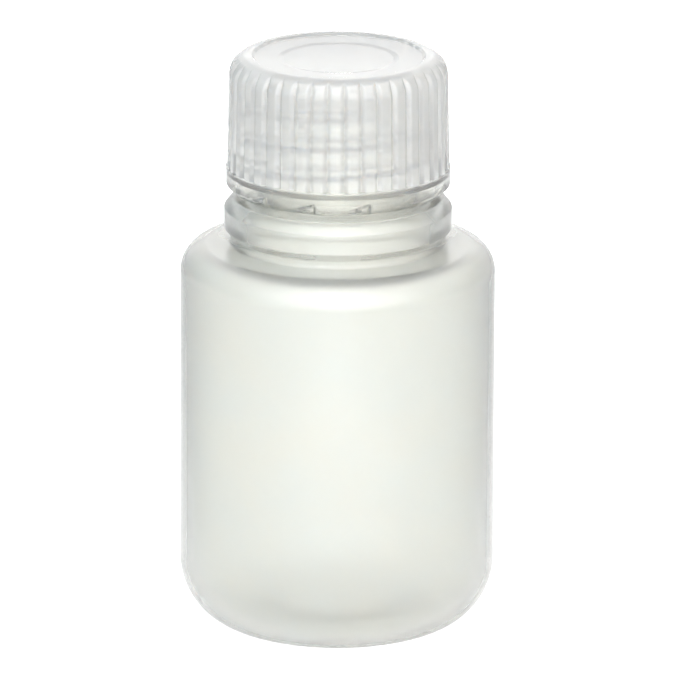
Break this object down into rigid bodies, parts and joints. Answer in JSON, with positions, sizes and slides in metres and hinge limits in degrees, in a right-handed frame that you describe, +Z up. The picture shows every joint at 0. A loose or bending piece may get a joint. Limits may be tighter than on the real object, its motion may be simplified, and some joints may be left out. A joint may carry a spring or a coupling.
{
  "type": "reagent bottle",
  "caption": "Narrow-mouth reagent bottle in translucent plastic with a ribbed screw cap and a sealing plug liner; holds and stores liquids or powders.",
  "frame": {"origin": "centre of the base, on the plane that the bottle stands on", "axes": "+Z up along the bottle's axis towards the cap; -Y is the front, where the thread ridge and rim notches are placed as seen"},
  "size_m": [0.034, 0.034, 0.0633],
  "materials": {
    "bottle_plastic": "translucent natural polypropylene, satin",
    "cap_plastic": "translucent natural polypropylene, moulded, satin",
    "liner_plastic": "translucent natural polyethylene, smooth"
  },
  "bodies": {
    "bottle": {"bottle": "bottle_plastic"},
    "liner": {"seal_liner": "liner_plastic"},
    "cap": {"screw_cap": "cap_plastic"}
  },
  "joints": [
    {"name": "cap_lift", "type": "slide", "parent": "bottle", "child": "liner", "axis": [0, 0, 1], "range_m": [0, 0.01429]},
    {"name": "cap_turn", "type": "hinge", "parent": "liner", "child": "cap", "pos_m": [0, 0, 0.0486], "axis": [0, 0, 1], "range_deg": [0, 1620]}
  ],
  "couplings": [
    {"joint": "cap_turn", "follows": "cap_lift", "rad_per_m": 1979}
  ]
}
